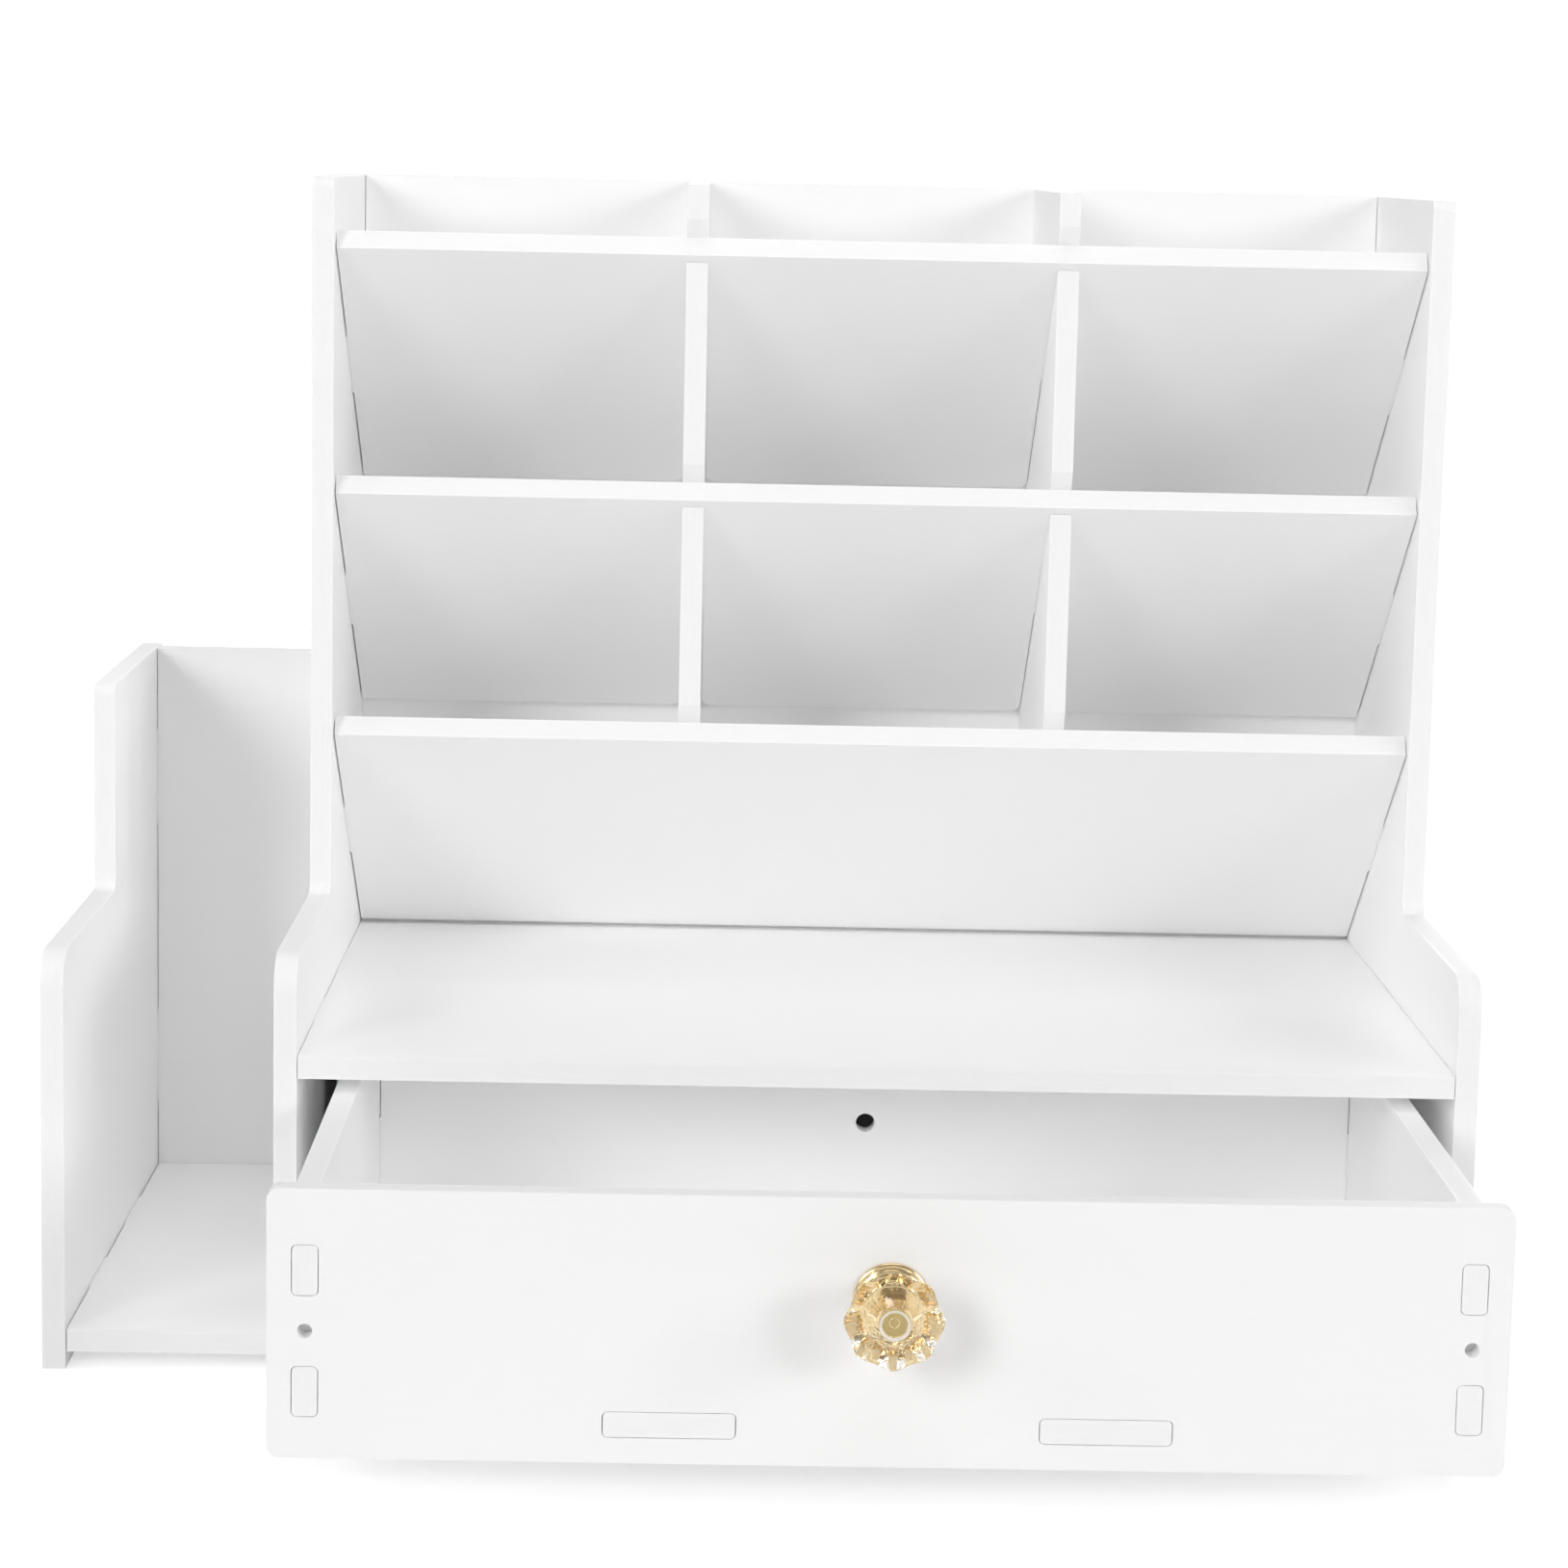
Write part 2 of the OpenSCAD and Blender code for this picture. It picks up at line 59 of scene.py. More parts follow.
def eased_board(node, grain, through):
    """The CAD board with the sharp arrises taken off, as a router and a pass of sandpaper leave it.

    The loose triangles are merged, flat faces are joined, and every edge over CUT_ANGLE gets a
    small round. Each point then keeps its board coordinates in the attribute "grain": distance
    along the grain, distance across it, and distance from the board's middle plane, which are the
    dot products of its place with three unit vectors, counted from the middle of the board's box.
    """
    solid = bmesh.new()
    solid.from_mesh(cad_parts[node].data)
    bmesh.ops.remove_doubles(solid, verts=solid.verts, dist=MERGE_DISTANCE)
    bmesh.ops.dissolve_limit(solid, angle_limit=FLAT_ANGLE, verts=solid.verts, edges=solid.edges)
    mesh = bpy.data.meshes.new(node + "_cut")
    solid.to_mesh(mesh)
    solid.free()
    board = bpy.data.objects.new(node + "_board", mesh)
    scene.collection.objects.link(board)

    ease = board.modifiers.new("eased_arrises", "BEVEL")
    ease.width = CUT_EASE
    ease.segments = 2
    ease.limit_method = "ANGLE"
    ease.angle_limit = CUT_ANGLE
    ease.harden_normals = True
    graph = bpy.context.evaluated_depsgraph_get()
    finished = bpy.data.meshes.new_from_object(
        board.evaluated_get(graph), preserve_all_data_layers=True, depsgraph=graph
    )
    board.modifiers.clear()
    board.data = finished
    finished.name = node + "_board"

    points = np.empty(len(finished.vertices) * 3)
    finished.vertices.foreach_get("co", points)
    low, high = (np.array(corner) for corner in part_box(node))
    through = np.array(through) / np.linalg.norm(through)
    grain = np.array(grain) / np.linalg.norm(grain)
    axes = np.stack([grain, np.cross(through, grain), through])
    local = (points.reshape(-1, 3) - (low + high) / 2) @ axes.T
    stored = finished.attributes.new("grain", "FLOAT_VECTOR", "POINT")
    stored.data.foreach_set("vector", local.astype(np.float32).ravel())
    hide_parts(node)
    return board


FACE_WHITE = (0.957, 0.957, 0.957, 1)
GRAIN_WHITE = (0.95, 0.95, 0.95, 1)
EDGE_WHITE = (0.945, 0.945, 0.945, 1)
FIBRE_WHITE = (0.93, 0.93, 0.93, 1)
PORE_WHITE = (0.90, 0.90, 0.90, 1)
SPECK_GREY = (0.42, 0.40, 0.37, 1)
SPECK_SHARE = 0.7

# Depths under a board's face at which the look of a cut edge begins and is full
CUT_BEGINS, CUT_FULL = 0.3 * MM, 0.75 * MM
GRAIN_LENGTH, GRAIN_WIDTH = 30 * MM, 1.1 * MM
FIBRE_LENGTH, FIBRE_DEPTH = 4 * MM, 0.5 * MM
PORE_WIDTH, PORE_DEPTH = 0.6 * MM, 0.4 * MM
PORE_SHARE = 0.4

# One speck of dust at most in each cell of this size, its solid and faded radius as shares of the
# cell, and the share of the cells that stay clean
DUST_CELL = 26 * MM
SPECK_SOLID, SPECK_FADED = 0.008, 0.016
CLEAN_CELLS = 0.72

FACE_ROUGH, CUT_ROUGH = 0.5, 0.7
PAINT_SHEEN = 0.28
RELIEF = 0.05 * MM
RELIEF_STRENGTH = 0.15


def feed(tree, value, socket):
    """Links an output to an input socket, or sets the input to a plain number or colour."""
    if isinstance(value, bpy.types.NodeSocket):
        tree.links.new(value, socket)
    else:
        socket.default_value = value


def add(tree, kind, **inputs):
    """A node of this kind, with its input sockets set by name or, for _0, _1, ..., by place."""
    made = tree.nodes.new("ShaderNode" + kind)
    for name, value in inputs.items():
        feed(tree, value, made.inputs[int(name[1:])] if name[0] == "_" else made.inputs[name])
    return made


def sums(tree, operation, first, second):
    """One step of arithmetic on two sockets or numbers."""
    made = add(tree, "Math", _0=first, _1=second)
    made.operation = operation
    return made.outputs[0]


def ramp(tree, value, low, high, to_low=0.0, to_high=1.0):
    """A smooth step of a value from to_low, at or under low, to to_high, at or over high."""
    limits = {"From Min": low, "From Max": high, "To Min": to_low, "To Max": to_high}
    made = add(tree, "MapRange", Value=value, **limits)
    made.interpolation_type = "SMOOTHSTEP"
    return made.outputs[0]


def blend(tree, share, first, second):
    """A colour between two colours, by a share from 0 to 1. A mix node has sockets for each kind of
    value: the two colours go into numbers 6 and 7, and their mix comes out of number 2."""
    made = tree.nodes.new("ShaderNodeMix")
    made.data_type = "RGBA"
    for place, value in ((0, share), (6, first), (7, second)):
        feed(tree, value, made.inputs[place])
    return made.outputs[2]


def stretched(tree, places, along, across, through):
    """Coordinates divided by a length, a width and a depth, for a noise of that size."""
    made = add(tree, "VectorMath", _0=places, _1=(1 / along, 1 / across, 1 / through))
    made.operation = "MULTIPLY"
    return made.outputs[0]


def white_board_finish():
    """White paint on fibreboard: matt faces with a trace of drawn grain and a rare speck of dust,
    and routed edges whose fibres and pores show a little through the paint."""
    finish = bpy.data.materials.new("white_board")
    finish.use_nodes = True
    tree = finish.node_tree
    shader = tree.nodes["Principled BSDF"]
    places = add(tree, "Attribute")
    places.attribute_name = "grain"
    places = places.outputs["Vector"]
    from_middle = sums(tree, "ABSOLUTE", add(tree, "SeparateXYZ", Vector=places).outputs["Z"], 0)
    core = ramp(tree, from_middle, BOARD / 2 - CUT_FULL, BOARD / 2 - CUT_BEGINS, 1, 0)

    along_grain = stretched(tree, places, GRAIN_LENGTH, GRAIN_WIDTH, GRAIN_WIDTH)
    drawn = add(tree, "TexNoise", Vector=along_grain, Scale=1, Detail=2, Roughness=0.6).outputs[0]
    in_layers = stretched(tree, places, FIBRE_LENGTH, FIBRE_LENGTH, FIBRE_DEPTH)
    fibre = add(tree, "TexNoise", Vector=in_layers, Scale=1, Detail=2, Roughness=0.65).outputs[0]
    in_pores = stretched(tree, places, PORE_WIDTH, PORE_WIDTH, PORE_DEPTH)
    pores = add(tree, "TexVoronoi", Vector=in_pores, Scale=1).outputs["Distance"]
    in_cells = stretched(tree, places, DUST_CELL, DUST_CELL, DUST_CELL)
    dust = add(tree, "TexVoronoi", Vector=in_cells, Scale=1)
    near = ramp(tree, dust.outputs["Distance"], SPECK_SOLID, SPECK_FADED, 1, 0)
    chosen = add(tree, "SeparateColor", Color=dust.outputs["Color"]).outputs[0]
    specks = sums(tree, "MULTIPLY", near, sums(tree, "GREATER_THAN", chosen, CLEAN_CELLS))

    face = blend(tree, ramp(tree, drawn, 0.3, 0.75), FACE_WHITE, GRAIN_WHITE)
    cut = blend(tree, ramp(tree, fibre, 0.35, 0.7), EDGE_WHITE, FIBRE_WHITE)
    cut = blend(tree, ramp(tree, pores, 0.1, 0.4, PORE_SHARE, 0), cut, PORE_WHITE)
    colour = blend(tree, core, face, cut)
    colour = blend(tree, sums(tree, "MULTIPLY", specks, SPECK_SHARE), colour, SPECK_GREY)
    tree.links.new(colour, shader.inputs["Base Color"])
    rough = ramp(tree, core, 0, 1, FACE_ROUGH, CUT_ROUGH)
    tree.links.new(rough, shader.inputs["Roughness"])
    shader.inputs["Specular IOR Level"].default_value = PAINT_SHEEN

    relief = add(tree, "Mix", _0=core, _2=drawn, _3=fibre).outputs[0]
    bump = add(tree, "Bump", Strength=RELIEF_STRENGTH, Distance=RELIEF, Height=relief)
    tree.links.new(bump.outputs[0], shader.inputs["Normal"])
    return finish


white_board = white_board_finish()
LEFT_TO_RIGHT = (1, 0, 0)
FRONT_TO_BACK = (0, 1, 0)
UPWARDS = (0, 0, 1)

for side in ("outer_side", "left_side", "right_side"):
    board = eased_board(side, UPWARDS, LEFT_TO_RIGHT)
    board.data.materials.append(white_board)
    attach(board, "cabinet")


# Back, shelf and floors. Three boards across the cabinet and two across the file bay, cut from
# the same white board, with tabs on their ends that sit in slots through the sides.

for upright in ("back_panel", "file_back"):
    board = eased_board(upright, LEFT_TO_RIGHT, FRONT_TO_BACK)
    board.data.materials.append(white_board)
    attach(board, "cabinet")

for flat in ("base_panel", "shelf", "file_floor"):
    board = eased_board(flat, LEFT_TO_RIGHT, UPWARDS)
    board.data.materials.append(white_board)
    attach(board, "cabinet")


# Slanted panels. Three white boards of one size that slope down to the back, with a tab at each
# end. The upper two are slotted from their lower edge, where they lap the dividers.

SLOPE_ANGLE = math.radians(37.5)

for slope in ("upper_slope", "middle_slope", "lower_slope"):
    board = eased_board(slope, LEFT_TO_RIGHT, (0, math.sin(SLOPE_ANGLE), math.cos(SLOPE_ANGLE)))
    board.data.materials.append(white_board)
    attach(board, "cabinet")


# Dividers. Two upright white boards that stand on the lowest slanted panel. The upper two panels
# sit in their slanting slots, which open at the front under a lead-in cut.

for divider in ("left_divider", "right_divider"):
    board = eased_board(divider, UPWARDS, LEFT_TO_RIGHT)
    board.data.materials.append(white_board)
    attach(board, "cabinet")


# Drawer. Five white boards: front and back are cut alike, and two sides and a bottom are tabbed
# into them. It slides on the floor board with no runners.

for end in ("drawer_front", "drawer_back"):
    board = eased_board(end, LEFT_TO_RIGHT, FRONT_TO_BACK)
    board.data.materials.append(white_board)
    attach(board, "drawer")

for wall in ("drawer_left", "drawer_right"):
    board = eased_board(wall, FRONT_TO_BACK, LEFT_TO_RIGHT)
    board.data.materials.append(white_board)
    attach(board, "drawer")

board = eased_board("drawer_bottom", LEFT_TO_RIGHT, UPWARDS)
board.data.materials.append(white_board)
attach(board, "drawer")


# Knob base. A turned brass flange, hollowed neck and bead, lacquered gold, with the stem that
# is cast into the crystal. The drawer's screw runs into it from behind.

KNOB_LOW, KNOB_HIGH = (np.array(corner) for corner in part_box("knob_base"))
KNOB_AXIS = (KNOB_LOW + KNOB_HIGH) / 2
FACE_Y = KNOB_HIGH[1]
AROUND = 96
TURNED_SHARP = math.radians(35)


def lofted(name, rings, reach):
    """A closed piece on the knob's axis. Ring i holds points (right, up) from the axis and lies
    reach[i] in front of the drawer's face. Each quad joins two points of a ring to the same two of
    the next, round and round, and a ring of no size closes to one point."""
    count, around = rings.shape[:2]
    points = np.empty((count, around, 3))
    points[..., 0] = KNOB_AXIS[0] + rings[..., 0]
    points[..., 1] = FACE_Y - np.asarray(reach)[:, None]
    points[..., 2] = KNOB_AXIS[2] + rings[..., 1]
    row = np.arange(count - 1)[:, None] * around
    here = np.arange(around)[None, :]
    there = (here + 1) % around
    quads = np.stack([row + here, row + there, row + around + there, row + around + here], axis=-1)
    mesh = bpy.data.meshes.new(name)
    mesh.from_pydata(points.reshape(-1, 3).tolist(), [], quads.reshape(-1, 4).tolist())
    closed = bmesh.new()
    closed.from_mesh(mesh)
    bmesh.ops.remove_doubles(closed, verts=closed.verts, dist=MERGE_DISTANCE)
    bmesh.ops.recalc_face_normals(closed, faces=closed.faces)
    closed.to_mesh(mesh)
    closed.free()
    piece = bpy.data.objects.new(name, mesh)
    scene.collection.objects.link(piece)
    return piece


def arc(centre, radius, start, end, steps):
    """Points (radius, reach) of a round from one angle to another, in degrees from outwards."""
    turn = np.radians(np.linspace(start, end, steps))
    return list(zip(centre[0] + radius * np.cos(turn), centre[1] + radius * np.sin(turn)))


FLANGE_R, FLANGE_T, FLANGE_ROUND = 7.5 * MM, 1.6 * MM, 0.55 * MM
RING_R, RING_ROUND = 6.3 * MM, 0.3 * MM
NECK_R, COVE_R = 4 * MM, 2.2 * MM
SEAT, BEAD_R = 5.8 * MM, 1 * MM
STEM_R, STEM_END = 2.8 * MM, 15.3 * MM
BORE_R, BORE_END = 2.05 * MM, 8 * MM
TIP_RING_R, TIP_RING_ROUND = 0.95 * MM, 0.16 * MM
ARRIS = 0.15 * MM

base_profile = [(0, BORE_END), (BORE_R, BORE_END), (BORE_R, 0), (FLANGE_R - FLANGE_ROUND, 0)]
base_profile += arc((FLANGE_R - FLANGE_ROUND, FLANGE_ROUND), FLANGE_ROUND, -80, 90, 12)
base_profile += [(RING_R + ARRIS, 2 * FLANGE_ROUND)]
base_profile += arc((RING_R - RING_ROUND, FLANGE_T - RING_ROUND), RING_ROUND, -20, 90, 8)
base_profile += arc((NECK_R + COVE_R, FLANGE_T + COVE_R), COVE_R, 246, 180, 14)
base_profile += arc((NECK_R, SEAT - BEAD_R), BEAD_R, -85, 90, 14)
base_profile += [(STEM_R + ARRIS, SEAT), (STEM_R, SEAT + ARRIS), (STEM_R, STEM_END - ARRIS)]
base_profile += [(STEM_R - ARRIS, STEM_END)]
base_profile += arc((TIP_RING_R, STEM_END), TIP_RING_ROUND, 0, 180, 9)
base_profile += [(0, STEM_END)]

base_r, base_reach = np.array(base_profile).T
turn = np.linspace(0, 2 * math.pi, AROUND, endpoint=False)
circle = np.stack([np.cos(turn), np.sin(turn)], axis=-1)
knob_base = lofted("knob_base_turned", base_r[:, None, None] * circle, base_reach)
knob_base.data.shade_smooth()
knob_base.data.set_sharp_from_angle(angle=TURNED_SHARP)

GOLD_LIGHT, GOLD_DEEP = (0.80, 0.64, 0.38, 1), (0.72, 0.56, 0.31, 1)
HAZE_PER_M = 900
TURNING_PITCH, TURNING_WIDTH = 0.2 * MM, 40 * MM
TURNING_DEPTH = 0.02 * MM
# Darker olive for the stem's cut end: painted shade, where the end lies in shadow inside the
# crystal
STEM_END_SHADE = (0.60, 0.46, 0.17, 1)


def gold_lacquer_finish():
    """Lacquered brass: warm metal with faint turning rings along the knob's axis and a soft
    unevenness in its polish."""
    finish = bpy.data.materials.new("gold_lacquer")
    finish.use_nodes = True
    tree = finish.node_tree
    shader = tree.nodes["Principled BSDF"]
    shader.inputs["Metallic"].default_value = 1
    shader.inputs["Coat Weight"].default_value = 0.3
    shader.inputs["Coat Roughness"].default_value = 0.05
    places = add(tree, "TexCoord").outputs["Object"]
    haze = add(tree, "TexNoise", Vector=places, Scale=HAZE_PER_M, Detail=3).outputs[0]
    colour = blend(tree, ramp(tree, haze, 0.35, 0.7), GOLD_LIGHT, GOLD_DEEP)
    tree.links.new(colour, shader.inputs["Base Color"])
    tree.links.new(ramp(tree, haze, 0.3, 0.7, 0.12, 0.2), shader.inputs["Roughness"])
    in_rings = stretched(tree, places, TURNING_WIDTH, TURNING_PITCH, TURNING_WIDTH)
    turning = add(tree, "TexNoise", Vector=in_rings, Scale=1).outputs[0]
    bump = add(tree, "Bump", Strength=0.15, Distance=TURNING_DEPTH, Height=turning)
    tree.links.new(bump.outputs[0], shader.inputs["Normal"])
    return finish


def stem_end_shade_finish():
    """Dull olive brass on the cut end of the stem, darker than the lacquered gold: painted shade,
    for the end lying in shadow inside the crystal.
    """
    finish = bpy.data.materials.new("stem_end_shade")
    finish.use_nodes = True
    shader = finish.node_tree.nodes["Principled BSDF"]
    shader.inputs["Base Color"].default_value = STEM_END_SHADE
    shader.inputs["Metallic"].default_value = 0.6
    shader.inputs["Roughness"].default_value = 0.45
    return finish


def face_reach(piece):
    """How far the middle of each face of a piece lies in front of the drawer's face."""
    middles = np.empty(len(piece.data.polygons) * 3)
    piece.data.polygons.foreach_get("center", middles)
    return FACE_Y - middles.reshape(-1, 3)[:, 1]


# The cut end, which takes the painted shade, is the flat round the tip's ring and the small chamfer
# at its border
END_BELOW, END_ABOVE = 0.7 * ARRIS, 0.1 * ARRIS

knob_base.data.materials.append(gold_lacquer_finish())
knob_base.data.materials.append(stem_end_shade_finish())
end_height = face_reach(knob_base) - STEM_END
on_end = (end_height > -END_BELOW) & (end_height < END_ABOVE)
knob_base.data.polygons.foreach_set("material_index", on_end.astype(np.int32))
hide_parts("knob_base")
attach(knob_base, "drawer")


# Crystal. Clear moulded acrylic, cast round the gold stem: eight ridges with a narrow flat on
# each, hollow facets between them, and a raised round front with a shallow dish.

RIDGES = 8
RIDGE_TURN = math.radians(4)
FACET_STEPS = 3
ROUND_R, ROUND_END = 3.2 * MM, 18.6 * MM
DISH_R, DISH_DEPTH = 2.45 * MM, 0.4 * MM
RIM_ROUND = (ROUND_R - DISH_R) / 2
# The rim of the dish, down to this depth under the front, is tinted pale and half diffuse: a
# painted highlight, for the bright ring of light on it
RIM_HIGHLIGHT_DEPTH = 0.3 * RIM_ROUND
EMBED = 0.12 * MM
FACET_SHARP = math.radians(8)
# The second tint is for the rim's painted highlight
CRYSTAL_TINT, RIM_HIGHLIGHT_TINT = (0.99, 0.975, 0.94, 1), (0.95, 0.93, 0.89, 1)
CRYSTAL_IOR = 1.5
POLISH_PER_M = 1500

# Cut rings from the seat to the foot of the round front, in millimetres: distance in front of
# the seat, radius on a ridge, radius half way between two ridges
CUT_RINGS = [
    (-0.12, 4.9, 4.9),
    (0.5, 5.15, 5.05),
    (2.5, 5.85, 5.2),
    (8.9, 9.15, 8.2),
    (10.0, 9.75, 9.12),
    (10.4, 9.5, 8.6),
    (11.3, 6.6, 5.5),
    (12.2, 4.0, 3.75),
]


def cut_rings():
    """Rings of straight facets. Each ridge has two corners, RIDGE_TURN to both sides of it, and one
    corner lies half way to the next ridge, at the smaller radius. The sides between corners are
    straight and split in FACET_STEPS."""
    reach, on_ridge, between = np.array(CUT_RINGS).T * MM
    ridge = np.arange(RIDGES) * 2 * math.pi / RIDGES
    half_way = ridge + math.pi / RIDGES
    turn = np.stack([ridge - RIDGE_TURN, ridge + RIDGE_TURN, half_way], axis=1).ravel()
    radius = np.where(np.tile([True, True, False], RIDGES), on_ridge[:, None], between[:, None])
    corners = radius[..., None] * np.stack([np.sin(turn), np.cos(turn)], axis=-1)
    share = np.linspace(0, 1, FACET_STEPS, endpoint=False)[:, None]
    sides = corners[:, :, None] * (1 - share) + np.roll(corners, -1, axis=1)[:, :, None] * share
    return sides.reshape(len(reach), -1, 2), SEAT + reach


facets, facet_reach = cut_rings()
spokes = facets[0] / np.linalg.norm(facets[0], axis=-1, keepdims=True)
bore_r, bore_reach = np.array([
    (0, STEM_END - EMBED), (STEM_R - EMBED, STEM_END - EMBED), (STEM_R - EMBED, SEAT - EMBED)
]).T
front_r, front_reach = np.array([
    (ROUND_R, facet_reach[-1]),
    *arc((DISH_R + RIM_ROUND, ROUND_END - RIM_ROUND), RIM_ROUND, 0, 180, 13),
    (DISH_R - ARRIS, ROUND_END - DISH_DEPTH),
    (0, ROUND_END - DISH_DEPTH),
]).T
crystal_rings = np.concatenate([
    bore_r[:, None, None] * spokes, facets, front_r[:, None, None] * spokes
])
knob_crystal = lofted(
    "knob_crystal_cut", crystal_rings, np.concatenate([bore_reach, facet_reach, front_reach])
)
knob_crystal.data.shade_smooth()
knob_crystal.data.set_sharp_from_angle(angle=FACET_SHARP)


def clear_crystal_finish():
    """Clear acrylic: full transmission at its own refraction, with hairline polish marks."""
    finish = bpy.data.materials.new("clear_crystal")
    finish.use_nodes = True
    tree = finish.node_tree
    shader = tree.nodes["Principled BSDF"]
    shader.inputs["Base Color"].default_value = CRYSTAL_TINT
    shader.inputs["Transmission Weight"].default_value = 1
    shader.inputs["IOR"].default_value = CRYSTAL_IOR
    places = add(tree, "TexCoord").outputs["Object"]
    polish = add(tree, "TexNoise", Vector=places, Scale=POLISH_PER_M, Detail=2).outputs[0]
    tree.links.new(ramp(tree, polish, 0.4, 0.8, 0.0, 0.03), shader.inputs["Roughness"])
    return finish


def rim_highlight_finish():
    """The rim of the dish, made pale and half diffuse so that it scatters light and shows as a pale
    ring: a painted highlight, for the bright ring of light on the rim of the front.
    """
    finish = bpy.data.materials.new("rim_highlight")
    finish.use_nodes = True
    shader = finish.node_tree.nodes["Principled BSDF"]
    shader.inputs["Base Color"].default_value = RIM_HIGHLIGHT_TINT
    shader.inputs["Transmission Weight"].default_value = 0.45
    shader.inputs["IOR"].default_value = CRYSTAL_IOR
    shader.inputs["Roughness"].default_value = 0.3
    return finish


knob_crystal.data.materials.append(clear_crystal_finish())
knob_crystal.data.materials.append(rim_highlight_finish())
# The top of the rim takes the pale finish, a painted highlight
on_rim = face_reach(knob_crystal) > ROUND_END - RIM_HIGHLIGHT_DEPTH
knob_crystal.data.polygons.foreach_set("material_index", on_rim.astype(np.int32))
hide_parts("knob_crystal")
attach(knob_crystal, "drawer")


# Screw. A plain pan-headed machine screw with a cross recess, put through the drawer's front
# from inside. It stays the CAD solid and gets its steel.

STEEL_LIGHT, STEEL_DARK = (0.66, 0.67, 0.69, 1), (0.56, 0.57, 0.60, 1)
BRUSHING_PER_M = 2500


def screw_steel_finish():
    """Zinc-plated steel: bluish grey metal with fine random brushing."""
    finish = bpy.data.materials.new("screw_steel")
    finish.use_nodes = True
    tree = finish.node_tree
    shader = tree.nodes["Principled BSDF"]
    shader.inputs["Metallic"].default_value = 1
    places = add(tree, "TexCoord").outputs["Object"]
    brushed = add(tree, "TexNoise", Vector=places, Scale=BRUSHING_PER_M, Detail=3).outputs[0]
    colour = blend(tree, ramp(tree, brushed, 0.35, 0.7), STEEL_LIGHT, STEEL_DARK)
    tree.links.new(colour, shader.inputs["Base Color"])
    tree.links.new(ramp(tree, brushed, 0.3, 0.7, 0.25, 0.4), shader.inputs["Roughness"])
    return finish


knob_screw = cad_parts["knob_screw"]
knob_screw.data.materials.clear()
knob_screw.data.materials.append(screw_steel_finish())


# Studio. A white table top that runs out of sight in a white room, soft boxes on both sides of
# the camera, weaker ones beside and above the object, and a large one behind it.

FLOOR_HALF = 4.0
FLOOR_WHITE = 0.94
# The table top glows for camera rays and for mirrors and glass, by these strengths near the object
# and far out, and between these distances from its middle: painted light, weaker near the object so
# that its shadow stays and stronger far out, where the lamps fall off
LIFT_NEAR, LIFT_FAR = 0.40, 0.85
LIFT_FROM, LIFT_TO = 0.25, 1.6
ROOM_FILL = 0.16

# Mirrors and glass see a dim room towards the camera and a white one towards the back, between
# these two depths of a ray's direction
ROOM_FRONT = 0.3
FRONT_DEPTH, BACK_DEPTH = -0.25, 0.35

floor_mesh = bpy.data.meshes.new("table_top")
floor_corners = FLOOR_HALF * np.array([(-1, -1, 0), (1, -1, 0), (1, 1, 0), (-1, 1, 0)])
floor_mesh.from_pydata(floor_corners.tolist(), [], [(0, 1, 2, 3)])
table_top = bpy.data.objects.new("table_top", floor_mesh)
scene.collection.objects.link(table_top)


def mirrored(tree):
    """1 for a ray off a mirror or through glass, and 0 for the light's own paths."""
    path = add(tree, "LightPath").outputs
    return sums(tree, "MAXIMUM", path["Is Glossy Ray"], path["Is Transmission Ray"])


def from_camera(tree):
    """1 for a ray straight from the camera."""
    return add(tree, "LightPath").outputs["Is Camera Ray"]


table_white = bpy.data.materials.new("table_white")
table_white.use_nodes = True
tree = table_white.node_tree
shader = tree.nodes["Principled BSDF"]
shader.inputs["Base Color"].default_value = (FLOOR_WHITE, FLOOR_WHITE, FLOOR_WHITE, 1)
shader.inputs["Roughness"].default_value = 0.9
shader.inputs["Specular IOR Level"].default_value = 0.0
# Glow for camera rays, mirrors and glass: painted light that whitens the table where the lamps fall
# off
shader.inputs["Emission Color"].default_value = (1, 1, 1, 1)
from_middle = add(tree, "VectorMath", _0=add(tree, "TexCoord").outputs["Object"])
from_middle.operation = "LENGTH"
lift = ramp(tree, from_middle.outputs["Value"], LIFT_FROM, LIFT_TO, LIFT_NEAR, LIFT_FAR)
lift = sums(tree, "MULTIPLY", sums(tree, "MAXIMUM", mirrored(tree), from_camera(tree)), lift)
tree.links.new(lift, shader.inputs["Emission Strength"])
table_top.data.materials.append(table_white)

room = bpy.data.worlds.new("white_room")
room.use_nodes = True
scene.world = room
tree = room.node_tree
backdrop = tree.nodes["Background"]
backdrop.inputs["Color"].default_value = (1, 1, 1, 1)
depth = add(tree, "SeparateXYZ", Vector=add(tree, "TexCoord").outputs["Generated"]).outputs["Y"]
backdrop_white = ramp(tree, depth, FRONT_DEPTH, BACK_DEPTH, ROOM_FRONT, 1)
strength = add(tree, "Mix", _0=mirrored(tree), _2=ROOM_FILL, _3=backdrop_white).outputs[0]
strength = sums(tree, "MAXIMUM", strength, from_camera(tree))
tree.links.new(strength, backdrop.inputs["Strength"])


def soft_box(name, place, aim, size, watts):
    """An area lamp of this width and height at a place, turned so that it faces a point."""
    lamp = bpy.data.lights.new(name, "AREA")
    lamp.shape = "RECTANGLE"
    lamp.size, lamp.size_y = size
    lamp.energy = watts
    stand = bpy.data.objects.new(name, lamp)
    stand.location = place
    stand.rotation_euler = (Vector(aim) - Vector(place)).to_track_quat("-Z", "Y").to_euler()
    scene.collection.objects.link(stand)


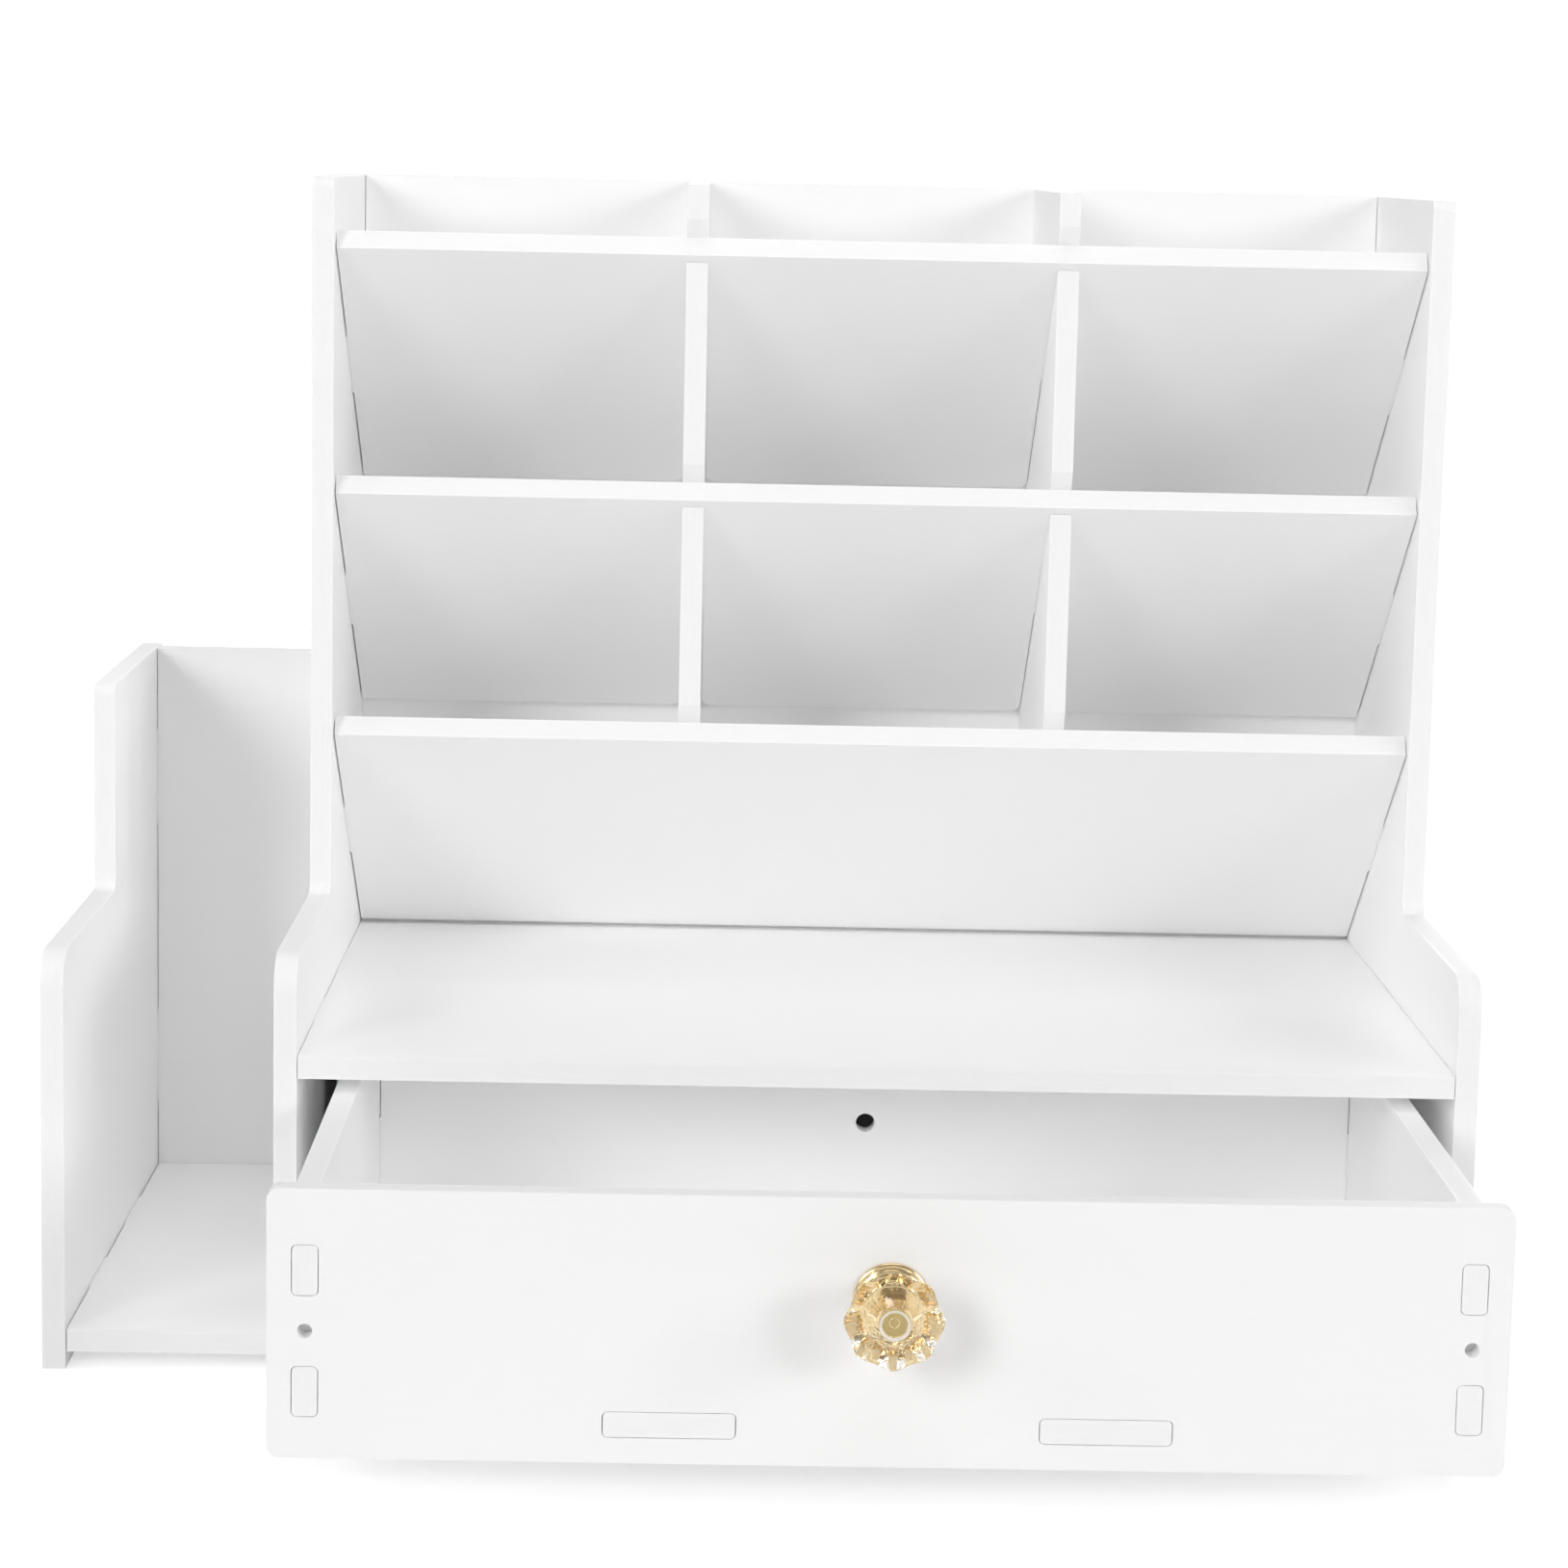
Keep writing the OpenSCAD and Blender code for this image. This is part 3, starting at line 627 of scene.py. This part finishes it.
AIM = (0.0, 0.0, 0.1)
soft_box("left_box", (-1.64, -2.63, 1.23), AIM, (1.0, 1.2), 32.4)
soft_box("right_box", (2.17, -2.33, 0.98), AIM, (0.9, 0.8), 19.4)
soft_box("right_far_box", (2.84, -1.38, 1.06), AIM, (0.6, 0.8), 9.0)
soft_box("left_wing", (-1.6, -0.5, 0.9), AIM, (0.8, 0.8), 5.6)
soft_box("right_wing", (1.6, -0.5, 0.9), AIM, (0.8, 0.8), 3.4)
soft_box("top_box", (0.05, -0.35, 1.35), AIM, (0.9, 0.9), 3.0)
soft_box("top_back_box", (0.0, 0.2, 1.4), AIM, (0.8, 0.6), 2.9)
soft_box("back_box", (0.6, 2.9, 1.5), AIM, (1.6, 1.6), 34.0)


# Camera. Straight on and a little above, as the photograph was taken: a long lens about
# 0.9 m in front of the cabinet, turned a trace to the right and rolled a degree.

CAMERA_PLACE = Vector((-0.01222, -0.88636, 0.26455))
YAW, PITCH, ROLL = -0.0183, 0.1541, 0.0219
PHOTO_PIXELS = 1629
FOCAL_PIXELS = 4220.4
SENSOR_MM = 36

level_right = Vector((math.cos(YAW), math.sin(YAW), 0))
level_ahead = Vector((-math.sin(YAW), math.cos(YAW), 0))
ahead = math.cos(PITCH) * level_ahead - math.sin(PITCH) * Vector((0, 0, 1))
above = math.sin(PITCH) * level_ahead + math.cos(PITCH) * Vector((0, 0, 1))
camera_right = math.cos(ROLL) * level_right + math.sin(ROLL) * above
camera_up = math.cos(ROLL) * above - math.sin(ROLL) * level_right

lens = bpy.data.cameras.new("photo_camera")
lens.sensor_fit = "HORIZONTAL"
lens.sensor_width = SENSOR_MM
lens.lens = FOCAL_PIXELS / PHOTO_PIXELS * SENSOR_MM
lens.clip_start = 0.01
camera = bpy.data.objects.new("photo_camera", lens)
turned = Matrix((camera_right, camera_up, -ahead)).transposed().to_4x4()
camera.matrix_world = Matrix.Translation(CAMERA_PLACE) @ turned
scene.collection.objects.link(camera)
scene.camera = camera
scene.view_settings.view_transform = "Standard"
scene.cycles.max_bounces = 24
scene.cycles.diffuse_bounces = 16
scene.cycles.glossy_bounces = 12
scene.cycles.transmission_bounces = 24
